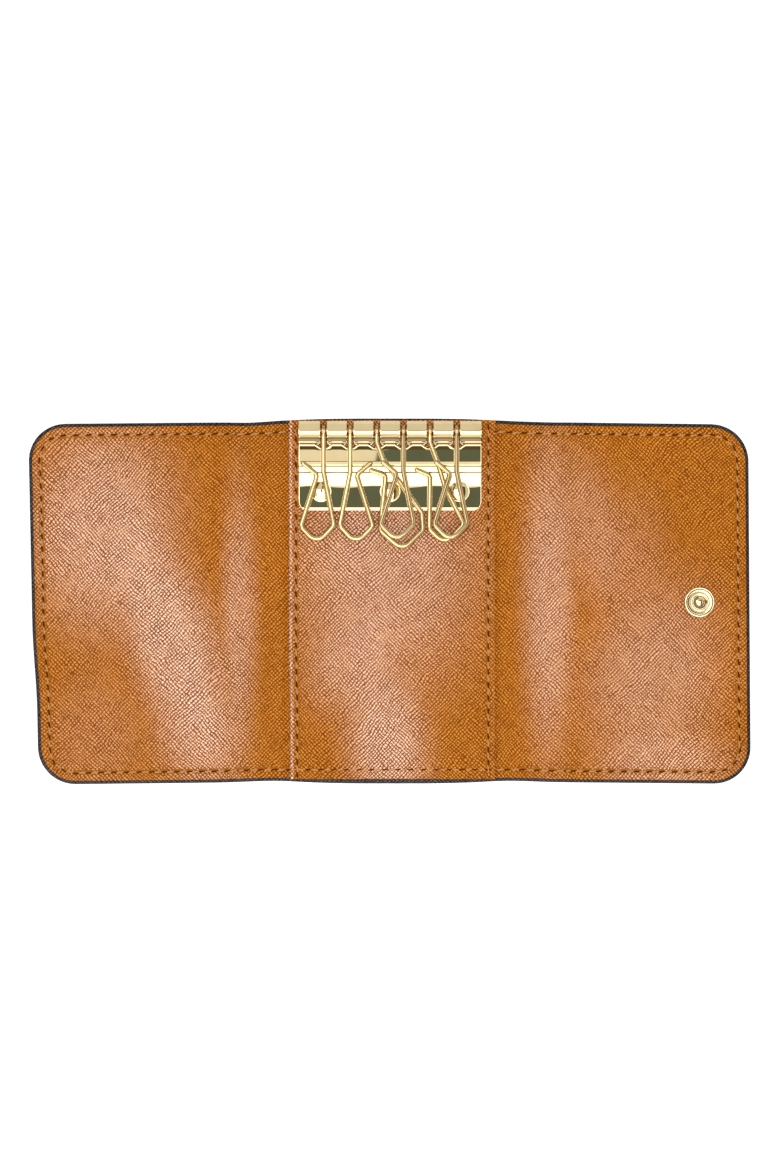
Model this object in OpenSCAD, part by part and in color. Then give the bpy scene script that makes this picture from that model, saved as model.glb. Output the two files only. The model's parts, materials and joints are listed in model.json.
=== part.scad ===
// Tri-fold leather key case, lying open with its lining up.
// X runs to the right, Y towards the key bar and Z up from the surface it lies on.
// Both sides are drawn flat and outward from their fold, then lifted to rest on the snap.

/* [Case] */
// Width of the centre panel between its two folds
centre_w = 60; // [56:0.5:70]
// Height of the case along the folds
case_h = 103.8; // [90:0.1:120]
// Width of the left spine, which sets the room for the keys
left_spine_w = 14; // [12:0.5:18]
// Width of the left flap at half its height
left_flap_w = 58.4; // [52:0.1:58.6]
// Width of the right flap at half its height
right_flap_w = 53.1; // [46:0.1:56]
// How much further out the left edge is at the top than at the bottom
left_lean = 2.1; // [0:0.1:3]
// How much further out the right edge is at the top than at the bottom
right_lean = -0.7; // [-2:0.1:2]
// Fall of the top edge across each spine
spine_drop = 0.9; // [0:0.1:2]
// Fall of the top edge across each flap
flap_drop = 0.7; // [0:0.1:2]
// How far the outer bottom corners hang below the centre panel
bottom_drop = 0.4; // [0:0.1:1.5]
// Radius of the four outer corners
corner_r = 9; // [4:0.5:16]

/* [Leather] */
// Thickness of the outer cover
cover_t = 0.9; // [0.8:0.1:1.4]
// Thickness of the stiffening boards
board_t = 0.5; // [0.4:0.1:0.8]
// Thickness of the lining of both sides
lining_t = 0.9; // [0.7:0.1:1.2]
// Thickness of the centre panel's leather, which lies a little higher
panel_t = 1.2; // [1.1:0.1:1.6]
// Width of the dark edge that the cover shows round the lining
rim = 1; // [0.5:0.1:2]
// Distance of the boards from the edges, which leaves room for the seam
board_inset = 5; // [4:0.5:8]
// Play between a board and its pocket
board_play = 0.1; // [0.05:0.01:0.2]
// Gap between two leather pieces at a fold
fold_gap = 0.3; // [0.2:0.05:0.6]
// Distance of the centre panel's leather from the fold
panel_inset = 0.3; // [0.3:0.05:0.8]

/* [Key bar] */
// Width of the key bar
bar_w = 52; // [48:0.5:54]
// Height of the key bar from its rolled edge to its lower edge
bar_h = 25.8; // [24:0.1:30]
// Thickness of the bar's sheet metal
sheet_t = 0.6; // [0.5:0.05:0.7]
// Diameter of the rolled edge that holds the rod
roll_d = 4.3; // [4.2:0.1:4.8]
// Distance of the bar from the top edge of the case
bar_gap = 0.4; // [0.2:0.1:2]
// Shift of the bar to the left of the panel's middle
bar_shift = 0.4; // [0:0.1:1]
// Number of slots, one for each hook
slot_count = 6; // [6:1:6]
// Distance between two slots
slot_pitch = 7.58; // [7.5:0.01:7.8]
// Width of a slot in the rolled edge
slot_w = 2; // [1.8:0.05:2.2]
// Half width of a slot where its foot flares out
slot_flare = 1.9; // [1.5:0.1:2.2]
// Length of a slot below the rolled edge
slot_foot = 3.7; // [3.2:0.1:4.2]
// Length of the flare at a slot's foot
flare_len = 1.7; // [1:0.1:2]
// Width of the recessed strip below the rolled edge
strip_w = 2.9; // [2.5:0.1:3.2]
// Width of the raised band
band_w = 8; // [6:0.1:9]
// Rise of the recessed strip over the leather
strip_rise = 0.2; // [0.1:0.05:0.3]
// Rise of the raised band over the leather
band_rise = 0.5; // [0.4:0.05:0.6]
// Width of the slopes beside the raised band
slope_w = 0.4; // [0.3:0.05:0.6]
// Radius of the bar's two lower corners
bar_corner_r = 2.7; // [1.5:0.1:4]
// Bevel along the bar's lower edge
bar_bevel = 0.3; // [0.2:0.05:0.45]

/* [Rod and rivets] */
// Diameter of the rod
rod_d = 1.4; // [1.2:0.05:1.5]
// Play between the rod and the inside of the rolled edge
rod_play = 0.1; // [0.05:0.01:0.15]
// Depth of the rod's ends inside the rolled edge
rod_recess = 0.5; // [0.3:0.1:1]
// Diameter of a rivet's domed head
rivet_d = 6; // [5:0.1:6.4]
// Height of a rivet's domed head
rivet_dome = 0.8; // [0.5:0.05:0.85]
// Diameter of a rivet's shank
shank_d = 2; // [1.5:0.1:2.5]
// Distance between two rivets
rivet_pitch = 19.7; // [17:0.1:21]
// Distance of the rivets from the bar's lower edge
rivet_rise = 5.45; // [4:0.05:6]
// Diameter of the washer behind each rivet
washer_d = 4.4; // [3.5:0.1:5]
// Thickness of the washers and of the stud post's flange
washer_t = 0.4; // [0.3:0.02:0.4]
// Play of a shank in its hole
hole_play = 0.05; // [0.03:0.01:0.1]

/* [Hooks] */
// Diameter of the hook wire
wire_d = 1.25; // [1:0.05:1.3]
// Outer diameter of the eye round the rod
eye_d = 2.6; // [2.5:0.05:3]
// Width of the flattened eye along the rod
eye_w = 1.1; // [0.8:0.05:1.2]
// Play of the eye on the rod
eye_play = 0.05; // [0.03:0.01:0.1]
// Distance from the rod to the bottom of a hook
hook_drop = 31.5; // [30.5:0.1:32.5]
// Bend radius of a hook's corners
bend_r = 1.5; // [1:0.1:2]
// Bend radius of a hook's bottom
bottom_r = 3.2; // [2:0.1:4]
// Lift of the two hooks that lie on their neighbours, in degrees
hook_lift = 9.5; // [9:0.1:12]

/* [Snap] */
// Distance of the snap from the right edge
snap_inset = 14.35; // [11:0.05:17]
// Distance of the snap below half the height
snap_low = 0.4; // [0:0.1:3]
// Gap between the closed flaps, which the snap fills
snap_gap = 2.8; // [2.8:0.05:3.2]
// Diameter of the socket
socket_d = 8.5; // [8.3:0.1:9.5]
// Height of the socket's lip over the lining
socket_h = 1.9; // [1.8:0.05:1.9]
// Thickness of the socket's floor
socket_floor = 0.25; // [0.2:0.05:0.3]
// Width of the socket's outer rim
socket_rim_w = 0.52; // [0.4:0.02:0.7]
// Height of the socket's outer rim
socket_rim_h = 0.9; // [0.7:0.05:1.1]
// Height of the ring between rim and lip
socket_ring_h = 0.5; // [0.35:0.05:0.6]
// Diameter of the socket's lip
lip_d = 5.5; // [5.3:0.1:5.9]
// Diameter of the opening in the lip
mouth_d = 4.2; // [4:0.05:4.3]
// Diameter of the spring's wire
spring_d = 0.4; // [0.3:0.02:0.42]
// Depth of the groove that keeps the spring
groove_depth = 0.15; // [0.1:0.01:0.2]
// Height of the spring's middle over the lining
spring_rise = 1.35; // [1.25:0.05:1.4]
// Opening in the split spring, in degrees
spring_split = 30; // [15:1:60]
// Diameter of the cap on the outer face
cap_d = 10; // [9:0.1:12]
// Height of the cap's dome
cap_h = 1; // [0.7:0.05:1.4]
// Diameter of the posts that hold cap and stud
post_d = 1.8; // [1.4:0.1:2]
// Diameter of the set head in the socket
set_head_d = 2.46; // [2.2:0.02:2.6]
// Height of the set head
set_head_h = 0.3; // [0.2:0.02:0.35]
// Diameter of the stud's flange
stud_flange_d = 8; // [7:0.1:9]
// Thickness of the stud's flange
stud_flange_t = 0.6; // [0.4:0.05:0.65]
// Diameter of the stud's neck
stud_neck_d = 2.7; // [2.4:0.05:2.8]
// Diameter of the stud's head
stud_head_d = 3.2; // [3:0.05:3.4]
// Height of the stud over the outer face
stud_h = 2.1; // [2:0.02:2.1]
// Length of the stud's head
stud_head_len = 0.6; // [0.5:0.05:0.65]
// Diameter of the post's flange under the left lining
post_flange_d = 7; // [5:0.1:8]

/* [Hidden] */
$fn = 48;
cut = 1;
arc_steps = 10;
bend_steps = 6;
wire_sides = 12;
dome_sides = 160;

// Heights of the stacked layers
pocket_t = cover_t + board_t;
side_t = pocket_t + lining_t;
panel_top = pocket_t + panel_t;
half_fold = fold_gap / 2;
half_w = centre_w / 2;
half_h = case_h / 2;

// The right spine is wider, so its flap closes over the left one with the snap between
right_spine_w = left_spine_w + side_t + snap_gap;
snap_reach = right_flap_w - snap_inset;
stud_reach = centre_w - snap_reach;

// Each side is lifted until the stud or the cap beneath it touches the surface
function lift_angle(reach, depth) =
  atan2(depth, reach) - asin(side_t / norm([reach, depth]));
left_lift = lift_angle(left_spine_w + stud_reach - stud_head_d / 2, side_t + stud_h);
right_lift = lift_angle(right_spine_w + snap_reach, side_t + cap_h);

// The origin is under the middle of the case's box
function side_extent(w, lean, lift) =
  half_w + (w + abs(lean) / 2) * cos(lift) + side_t * sin(lift);
left_extent = side_extent(left_spine_w + left_flap_w, left_lean, left_lift);
right_extent = side_extent(right_spine_w + right_flap_w, right_lean, right_lift);
shift_x = (left_extent - right_extent) / 2;
shift_y = bottom_drop / 2;

// The bar hangs from its rolled edge, and the rod is drawn to the roll's lower side
roll_r = roll_d / 2;
roll_y = half_h - bar_gap - roll_r;
roll_z = panel_top + roll_r;
rod_y = roll_y - (roll_r - sheet_t - rod_d / 2 - rod_play);
bar_bottom = half_h - bar_gap - bar_h;
rivet_y = bar_bottom + rivet_rise;

wire_r = wire_d / 2;

// Corners of a hook as shares of its drop, with the free leg to the left
plain_shares = [
  [0, -0.38], [0.094, -0.862], [-0.055, -1.026], [-0.206, -0.87], [-0.058, -0.405],
  [-0.2, -0.285]
];
// The third hook is swung to the right, under the fourth
wide_shares = [
  [0, -0.112], [0.39, -0.745], [0.4, -0.9], [0.212, -1.088], [0.02, -0.9],
  [0.076, -0.4], [-0.07, -0.356]
];
// The fifth hook is swung to the right, under the sixth
leaning_shares = [
  [0, -0.108], [0.062, -0.273], [0.135, -0.52], [0.307, -0.85], [0.135, -1.03],
  [-0.006, -0.892], [0, -0.41], [-0.14, -0.35]
];
bend_radii = [bend_r, bend_r, bottom_r, bend_r, bend_r];
wide_radii = [bend_r, bend_r, bend_r, bottom_r, bend_r, bend_r];
leaning_radii = [bend_r, bend_r, bend_r, bend_r, bottom_r, bend_r, bend_r];

leather = [0.76, 0.45, 0.17];
cover_colour = [0.17, 0.11, 0.14];
board_colour = [0.55, 0.5, 0.42];
gold = [0.9, 0.8, 0.52];
steel = [0.7, 0.7, 0.68];

function unit(v) = v / norm(v);
function turn_left(v) = [-v.y, v.x];

// Points of the arc that rounds the corner at a point between two neighbours
function arc_points(at, before, after, r, steps = arc_steps) =
  let (
    a = unit(before - at),
    b = unit(after - at),
    half = acos(max(-1, min(1, a * b))) / 2,
    centre = at + unit(a + b) * r / sin(half),
    start = at + a * r / tan(half) - centre,
    finish = at + b * r / tan(half) - centre,
    side = sign(start.x * finish.y - start.y * finish.x),
    sweep = side * (180 - 2 * half)
  )
  [for (i = [0:steps])
    let (t = sweep * i / steps)
    centre + [start.x * cos(t) - start.y * sin(t), start.x * sin(t) + start.y * cos(t)]
  ];

// Outline of a flap from its fold at x = 0, with its free edges drawn in by inset
module flap_outline(w, lean, inset, from_fold) {
  top_in = half_h - spine_drop - inset;
  top_out = top_in - flap_drop;
  low_in = -half_h + inset;
  low_out = low_in - bottom_drop;
  upper = [w + lean / 2 - inset, top_out];
  lower = [w - lean / 2 - inset, low_out];
  r = corner_r - inset;
  polygon(concat(
    [[from_fold, low_in]],
    arc_points(lower, [from_fold, low_in], upper, r),
    arc_points(upper, lower, [from_fold, top_in], r),
    [[from_fold, top_in]]
  ));
}

// Outline of a spine, whose top edge falls away from the centre panel
module spine_outline(w, inset) {
  polygon([
    [half_fold, -half_h + inset], [w - half_fold, -half_h + inset],
    [w - half_fold, half_h - spine_drop - inset], [half_fold, half_h - inset]
  ]);
}

module left_side() {
  translate([shift_x - half_w, shift_y, side_t])
    rotate([0, left_lift, 0])
      translate([0, 0, -side_t])
        mirror([1, 0, 0])
          children();
}

module right_side() {
  translate([shift_x + half_w, shift_y, side_t])
    rotate([0, -right_lift, 0])
      translate([0, 0, -side_t])
        children();
}

module centre() {
  translate([shift_x, shift_y, 0]) children();
}

module flap_cover(w, lean, reach, hole_d) {
  difference() {
    linear_extrude(pocket_t) flap_outline(w, lean, 0, half_fold);
    translate([0, 0, cover_t])
      linear_extrude(board_t + cut) flap_outline(w, lean, board_inset, board_inset);
    translate([reach, -snap_low, -cut])
      cylinder(h = cover_t + 2 * cut, d = hole_d);
  }
}

module flap_board(w, lean, reach, hole_d) {
  inset = board_inset + board_play;
  translate([0, 0, cover_t])
    difference() {
      linear_extrude(board_t) flap_outline(w, lean, inset, inset);
      translate([reach, -snap_low, -cut])
        cylinder(h = board_t + 2 * cut, d = hole_d);
    }
}

module spine_cover(w) {
  linear_extrude(pocket_t) spine_outline(w, 0);
}

module spine_lining(w) {
  translate([0, 0, pocket_t])
    linear_extrude(lining_t) spine_outline(w, rim);
}

// The centre panel's stack

module centre_block(inset_x, inset_y, t) {
  translate([-half_w + inset_x, -half_h + inset_y, 0])
    cube([centre_w - 2 * inset_x, case_h - 2 * inset_y, t]);
}

module centre_cover() {
  color(cover_colour)
    centre()
      difference() {
        centre_block(half_fold, 0, pocket_t);
        translate([0, 0, cover_t])
          centre_block(board_inset, board_inset, board_t + cut);
      }
}

module centre_board() {
  inset = board_inset + board_play;
  color(board_colour)
    centre()
      difference() {
        translate([0, 0, cover_t]) centre_block(inset, inset, board_t);
        at_rivets() cylinder(h = panel_top, d = washer_d + 2 * board_play);
      }
}

module key_panel() {
  color(leather)
    centre()
      difference() {
        translate([0, 0, pocket_t]) centre_block(panel_inset, rim, panel_t);
        at_rivets() cylinder(h = panel_top + cut, d = shank_d + 2 * hole_play);
      }
}

// The key bar, bent from one sheet

module at_rivets() {
  for (i = [-1:1])
    translate([i * rivet_pitch - bar_shift, rivet_y, 0]) children();
}

// Section of the sheet: x is up along the panel, y is height over the leather
module bar_section() {
  foot = bar_bottom;
  strip_top = roll_y - roll_r;
  band_top = strip_top - strip_w;
  band_low = band_top - band_w;
  difference() {
    union() {
      polygon([
        [foot, 0], [band_low - slope_w, 0], [band_low, band_rise],
        [band_top, band_rise], [band_top + slope_w, strip_rise], [roll_y, strip_rise],
        [roll_y, strip_rise + sheet_t], [band_top + slope_w, strip_rise + sheet_t],
        [band_top, band_rise + sheet_t], [band_low, band_rise + sheet_t],
        [band_low - slope_w, sheet_t], [foot + bar_bevel, sheet_t],
        [foot, sheet_t - bar_bevel]
      ]);
      translate([roll_y, roll_r]) circle(r = roll_r);
    }
    translate([roll_y, roll_r]) circle(r = roll_r - sheet_t);
  }
}

// A slot open at the top, flaring at its foot
module slot_outline() {
  foot = roll_y - roll_r - slot_foot;
  flare_top = foot + flare_len;
  flare_mid = foot + flare_len / 2;
  polygon([
    [-slot_w / 2, half_h], [-slot_w / 2, flare_top], [-slot_flare, flare_mid],
    [-slot_flare, foot], [slot_flare, foot], [slot_flare, flare_mid],
    [slot_w / 2, flare_top], [slot_w / 2, half_h]
  ]);
}

// What the two rounded lower corners take away
module corner_waste() {
  translate([bar_w / 2 - bar_corner_r, bar_bottom])
    difference() {
      translate([0, -cut]) square([bar_corner_r + cut, bar_corner_r + cut]);
      translate([0, bar_corner_r]) circle(r = bar_corner_r);
    }
}

function slot_x(i) = (i - (slot_count - 1) / 2) * slot_pitch - bar_shift;

module key_bar() {
  color(gold)
    centre()
      translate([0, 0, panel_top])
        difference() {
          translate([-bar_w / 2 - bar_shift, 0, 0])
            rotate([90, 0, 90]) linear_extrude(bar_w) bar_section();
          for (i = [0:slot_count - 1])
            translate([slot_x(i), 0, -cut])
              linear_extrude(roll_d + 2 * cut) slot_outline();
          for (side = [0, 1])
            translate([-bar_shift, 0, -cut])
              mirror([side, 0, 0])
                linear_extrude(roll_d + 2 * cut) corner_waste();
          translate([0, 0, -panel_top])
            at_rivets() cylinder(h = roll_z, d = shank_d + 2 * hole_play);
        }
}

module hook_rod() {
  color(steel)
    centre()
      translate([rod_recess - bar_w / 2 - bar_shift, rod_y, roll_z])
        rotate([0, 90, 0]) cylinder(h = bar_w - 2 * rod_recess, d = rod_d);
}

// A dome of given width and height that stands on z = 0
module dome(d, h) {
  ball_r = (d * d / 4 + h * h) / (2 * h);
  intersection() {
    translate([0, 0, h - ball_r]) sphere(r = ball_r, $fn = dome_sides);
    cylinder(h = h + cut, d = d, $fn = dome_sides);
  }
}

module bar_rivets() {
  color(gold)
    centre()
      at_rivets() {
        translate([0, 0, panel_top + sheet_t]) dome(rivet_d, rivet_dome);
        translate([0, 0, cover_t + washer_t / 2])
          cylinder(h = panel_t + board_t + sheet_t - washer_t / 2, d = shank_d);
      }
}

module rivet_washers() {
  color(steel)
    centre()
      at_rivets()
        translate([0, 0, cover_t])
          difference() {
            cylinder(h = washer_t, d = washer_d);
            translate([0, 0, -cut])
              cylinder(h = washer_t + 2 * cut, d = shank_d + 2 * hole_play);
          }
}

// Bent wire hooks

// Middle line of a wire through all points, with a fillet of radii[i] at each inner point
function wire_line(points, radii) = concat(
  [points[0]],
  [for (i = [1:len(points) - 2])
    each arc_points(points[i], points[i - 1], points[i + 1], radii[i - 1], bend_steps)],
  [points[len(points) - 1]]
);

// One round wire along its middle line, with a mitred ring at each point
module bent_wire(points, radii) {
  line = wire_line(points, radii);
  last = len(line) - 1;
  rings = [for (i = [0:last])
    let (
      before = unit(line[max(i, 1)] - line[max(i, 1) - 1]),
      after = unit(line[min(i, last - 1) + 1] - line[min(i, last - 1)]),
      along = unit(before + after),
      across = turn_left(along) * wire_r / (along * after)
    )
    for (k = [0:wire_sides - 1])
      let (t = 360 * (k + 0.5) / wire_sides)
      [line[i].x + across.x * cos(t), line[i].y + across.y * cos(t), wire_r * sin(t)]
  ];
  walls = [for (i = [0:last - 1], k = [0:wire_sides - 1])
    let (m = (k + 1) % wire_sides, low = i * wire_sides, high = low + wire_sides)
    [low + k, high + k, high + m, low + m]
  ];
  foot = [for (k = [0:wire_sides - 1]) k];
  tip = [for (k = [wire_sides - 1:-1:0]) last * wire_sides + k];
  polyhedron(rings, concat([foot, tip], walls));
}

module hook(i, shares, radii, lift) {
  neck = [0, -rod_d / 2 - eye_play - wire_r / 2];
  color(gold)
    centre()
      translate([slot_x(i), rod_y, roll_z])
        rotate([-lift, 0, 0])
          difference() {
            union() {
              rotate([0, 90, 0]) cylinder(h = eye_w, d = eye_d, center = true);
              bent_wire(concat([neck], shares * hook_drop), radii);
            }
            rotate([0, 90, 0])
              cylinder(h = wire_d + 2 * cut, d = rod_d + 2 * eye_play, center = true);
          }
}

module hook_1() {
  hook(0, plain_shares, bend_radii, 0);
}

// The second hook opens to the right
module hook_2() {
  hook(1, [for (p = plain_shares) [-p.x, p.y]], bend_radii, 0);
}

module hook_3() {
  hook(2, wide_shares, wide_radii, 0);
}

module hook_4() {
  hook(3, plain_shares, bend_radii, hook_lift);
}

module hook_5() {
  hook(4, leaning_shares, leaning_radii, 0);
}

module hook_6() {
  hook(5, plain_shares, bend_radii, hook_lift);
}

// The left side, with the stud on its outer face

module left_spine_cover() {
  color(cover_colour) left_side() spine_cover(left_spine_w);
}

module left_spine_lining() {
  color(leather) left_side() spine_lining(left_spine_w);
}

module left_flap_cover() {
  color(cover_colour)
    left_side()
      translate([left_spine_w, 0, 0])
        flap_cover(left_flap_w, left_lean, stud_reach, post_d + 2 * hole_play);
}

module left_flap_board() {
  color(board_colour)
    left_side()
      translate([left_spine_w, 0, 0])
        flap_board(left_flap_w, left_lean, stud_reach, post_flange_d + 2 * board_play);
}

module left_flap_lining() {
  color(leather)
    left_side()
      translate([left_spine_w, 0, pocket_t])
        linear_extrude(lining_t) flap_outline(left_flap_w, left_lean, rim, half_fold);
}

module at_stud() {
  left_side()
    translate([left_spine_w + stud_reach, -snap_low, 0])
      rotate([180, 0, 0])
        children();
}

module snap_stud() {
  bore_r = post_d / 2 + hole_play;
  flange_r = stud_flange_d / 2;
  neck_r = stud_neck_d / 2;
  head_r = stud_head_d / 2;
  head_low = stud_h - stud_head_len;
  bevel = (head_r - bore_r) / 2;
  color(gold)
    at_stud()
      rotate_extrude()
        polygon([
          [bore_r, 0], [flange_r, 0], [flange_r, stud_flange_t / 2],
          [flange_r - stud_flange_t / 2, stud_flange_t], [neck_r, stud_flange_t],
          [neck_r, head_low], [head_r, head_low + stud_head_len / 3],
          [head_r, stud_h - bevel], [head_r - bevel, stud_h], [bore_r, stud_h]
        ]);
}

module stud_post() {
  color(steel)
    at_stud()
      translate([0, 0, -cover_t]) {
        cylinder(h = cover_t + stud_h - hole_play, d = post_d);
        translate([0, 0, -washer_t]) cylinder(h = washer_t, d = post_flange_d);
      }
}

// The right side, with the socket on its lining and the cap on its outer face

module right_spine_cover() {
  color(cover_colour) right_side() spine_cover(right_spine_w);
}

module right_spine_lining() {
  color(leather) right_side() spine_lining(right_spine_w);
}

module right_flap_cover() {
  color(cover_colour)
    right_side()
      translate([right_spine_w, 0, 0])
        flap_cover(right_flap_w, right_lean, snap_reach, post_d + 2 * hole_play);
}

module right_flap_board() {
  color(board_colour)
    right_side()
      translate([right_spine_w, 0, 0])
        flap_board(right_flap_w, right_lean, snap_reach, post_d + 2 * hole_play);
}

module at_snap() {
  right_side()
    translate([right_spine_w + snap_reach, -snap_low, 0])
      children();
}

module right_flap_lining() {
  color(leather) {
    difference() {
      right_side()
        translate([right_spine_w, 0, pocket_t])
          linear_extrude(lining_t)
            flap_outline(right_flap_w, right_lean, rim, half_fold);
      at_snap() cylinder(h = side_t + cut, d = post_d + 2 * hole_play);
    }
  }
}

module snap_socket() {
  bore_r = post_d / 2 + hole_play;
  outer_r = socket_d / 2;
  lip_r = lip_d / 2;
  mouth_r = mouth_d / 2;
  bevel = (lip_r - mouth_r) / 3;
  low = spring_rise - spring_d / 2 - hole_play;
  high = spring_rise + spring_d / 2 + hole_play;
  color(gold)
    at_snap()
      translate([0, 0, side_t])
        rotate_extrude()
          polygon([
            [bore_r, 0], [outer_r, 0], [outer_r, socket_rim_h - bevel],
            [outer_r - bevel, socket_rim_h], [outer_r - socket_rim_w, socket_rim_h],
            [outer_r - socket_rim_w, socket_ring_h], [lip_r, socket_ring_h],
            [lip_r, socket_h - bevel], [lip_r - bevel, socket_h],
            [mouth_r + bevel, socket_h], [mouth_r, socket_h - bevel],
            [mouth_r, high], [mouth_r + groove_depth, high],
            [mouth_r + groove_depth, low], [mouth_r, low],
            [mouth_r, socket_floor], [bore_r, socket_floor]
          ]);
}

// A split ring that grips the stud behind its head
module snap_spring() {
  ring_r = mouth_d / 2 + groove_depth - hole_play - spring_d / 2;
  color(steel)
    at_snap()
      translate([0, 0, side_t + spring_rise])
        rotate([0, 0, spring_split / 2])
          rotate_extrude(angle = 360 - spring_split)
            translate([ring_r, 0]) circle(d = spring_d);
}

module snap_cap() {
  color(gold)
    at_snap() {
      rotate([180, 0, 0]) dome(cap_d, cap_h);
      cylinder(h = side_t + socket_floor, d = post_d);
      translate([0, 0, side_t + socket_floor]) dome(set_head_d, set_head_h);
    }
}

centre_cover();
centre_board();
key_panel();
key_bar();
hook_rod();
bar_rivets();
rivet_washers();
left_spine_cover();
left_spine_lining();
left_flap_cover();
left_flap_board();
left_flap_lining();
snap_stud();
stud_post();
right_spine_cover();
right_spine_lining();
right_flap_cover();
right_flap_board();
right_flap_lining();
snap_socket();
snap_spring();
snap_cap();
hook_1();
hook_2();
hook_3();
hook_4();
hook_5();
hook_6();
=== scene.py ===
import json
import math
import bpy
import bmesh
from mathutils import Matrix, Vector


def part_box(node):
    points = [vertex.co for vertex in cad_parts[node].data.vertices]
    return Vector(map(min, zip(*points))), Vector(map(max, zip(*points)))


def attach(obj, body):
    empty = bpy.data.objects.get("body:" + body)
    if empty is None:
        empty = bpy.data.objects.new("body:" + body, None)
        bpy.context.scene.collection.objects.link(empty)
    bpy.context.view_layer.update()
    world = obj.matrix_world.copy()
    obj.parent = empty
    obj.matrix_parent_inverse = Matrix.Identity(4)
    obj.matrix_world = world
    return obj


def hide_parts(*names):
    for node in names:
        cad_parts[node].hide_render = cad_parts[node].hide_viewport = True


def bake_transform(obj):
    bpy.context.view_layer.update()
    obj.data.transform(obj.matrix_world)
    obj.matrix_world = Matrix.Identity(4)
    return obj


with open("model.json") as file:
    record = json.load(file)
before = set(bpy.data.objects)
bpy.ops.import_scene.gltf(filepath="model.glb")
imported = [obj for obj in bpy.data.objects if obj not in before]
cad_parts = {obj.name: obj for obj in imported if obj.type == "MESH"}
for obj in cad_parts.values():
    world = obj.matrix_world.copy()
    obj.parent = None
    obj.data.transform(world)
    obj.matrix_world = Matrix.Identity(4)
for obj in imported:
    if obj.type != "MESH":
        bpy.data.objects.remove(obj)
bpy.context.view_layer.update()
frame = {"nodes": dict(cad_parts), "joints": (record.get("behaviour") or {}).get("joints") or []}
MM = 0.001

# Camera, lamps and table
# The case lies open on a white table and is seen from straight above by a long lens, with one
# soft lamp beside the camera. Cards that nothing but polished metal sees stand for what the gold
# mirrors: the softbox and its wings, the camera itself, and a dark flag on the right.
photo_height_px = 1170
case_top_px = 419.5
case_bottom_px = 783.4
case_height = 104.14 * MM
px_size = case_height / (case_bottom_px - case_top_px)
case_middle_px = (case_top_px + case_bottom_px) / 2
lens_mm = 100
sensor_mm = 36
camera_data = bpy.data.cameras.new("camera")
camera_data.lens = lens_mm
camera_data.sensor_width = sensor_mm
camera_data.clip_start = 0.01
camera = bpy.data.objects.new("camera", camera_data)
camera_height = photo_height_px * px_size * lens_mm / sensor_mm
camera.location = (0, (case_middle_px - photo_height_px / 2) * px_size, camera_height)
bpy.context.scene.collection.objects.link(camera)
bpy.context.scene.camera = camera
bpy.context.scene.view_settings.view_transform = "Standard"


class Output:
    """One output of a node. Sums and products of outputs are written like those of numbers."""

    def __init__(self, tree, socket):
        self.tree = tree
        self.socket = socket

    def __getitem__(self, name):
        return Output(self.tree, self.socket.node.outputs[name])

    def math(self, operation, *others):
        values = {f"_{i}": value for i, value in enumerate((self, *others))}
        return node(self.tree, "ShaderNodeMath", {"operation": operation}, **values)

    def __add__(self, other):
        return self.math("ADD", other)

    def __sub__(self, other):
        return self.math("SUBTRACT", other)

    def __rsub__(self, number):
        return self.math("MULTIPLY_ADD", -1.0, number)

    def __mul__(self, other):
        return self.math("MULTIPLY", other)

    def __truediv__(self, other):
        return self.math("DIVIDE", other)

    def __pow__(self, power):
        return self.math("POWER", power)


def node(tree, kind, settings=None, **values):
    """First output of a new node, with its inputs set or linked by name, or by number as in _0."""
    made = tree.nodes.new(kind)
    for key, value in (settings or {}).items():
        setattr(made, key, value)
    for key, value in values.items():
        socket = made.inputs[int(key[1:]) if key[0] == "_" else key.replace("_", " ")]
        for item in value if isinstance(value, list) else [value]:
            if isinstance(item, Output):
                tree.links.new(item.socket, socket)
            else:
                socket.default_value = item
    return Output(tree, made.outputs[0]) if made.outputs else None


def new_material(name):
    """A material and its empty node tree."""
    material = bpy.data.materials.new(name)
    material.use_nodes = True
    material.node_tree.nodes.clear()
    return material, material.node_tree


def shade(tree, kind="ShaderNodeBsdfPrincipled", **values):
    """Gives a material its shader."""
    node(tree, "ShaderNodeOutputMaterial", Surface=node(tree, kind, **values))


def new_piece(name, points, edges, faces):
    """An object at the origin, with a plain mesh."""
    mesh = bpy.data.meshes.new(name)
    mesh.from_pydata(points, edges, faces)
    made = bpy.data.objects.new(name, mesh)
    bpy.context.scene.collection.objects.link(made)
    return made


def seen_white(tree):
    """1 for the rays that should meet a white background, and 0 for light on the object."""
    path = node(tree, "ShaderNodeLightPath")
    mirrored = path["Is Glossy Ray"].math("MAXIMUM", path["Is Transmission Ray"])
    return path["Is Camera Ray"].math("MAXIMUM", mirrored)


def rectangle(x0, x1, y0, y1, height):
    """Corners of a level rectangle."""
    return [(x0, y0, height), (x1, y0, height), (x1, y1, height), (x0, y1, height)]


world = bpy.data.worlds.new("studio")
world.use_nodes = True
bpy.context.scene.world = world
ambient_level = 0.68
sky = world.node_tree.nodes["Background"]
sky.inputs[0].default_value = (1, 1, 1, 1)
ambient = seen_white(world.node_tree).math("MAXIMUM", ambient_level)
world.node_tree.links.new(ambient.socket, sky.inputs[1])
# light from the world is only met by rays, so that the cards below can stand before it
world.cycles.sampling_method = "NONE"

table_half = 1.5
table_z = -0.0001
camera_glow = 0.4
mirror_glow = 0.3
table_corners = rectangle(-table_half, table_half, -table_half, table_half, table_z)
table = new_piece("table", table_corners, [], [(0, 1, 2, 3)])
table_material, tree = new_material("white table")
glow = node(tree, "ShaderNodeLightPath")["Is Camera Ray"] * camera_glow
glow = seen_white(tree).math("MULTIPLY_ADD", mirror_glow, glow)
shade(tree, Base_Color=(0.9, 0.9, 0.9, 1), Roughness=0.9, Emission_Color=(1, 1, 1, 1),
    Emission_Strength=glow, Specular_IOR_Level=0)
table.data.materials.append(table_material)

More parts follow.
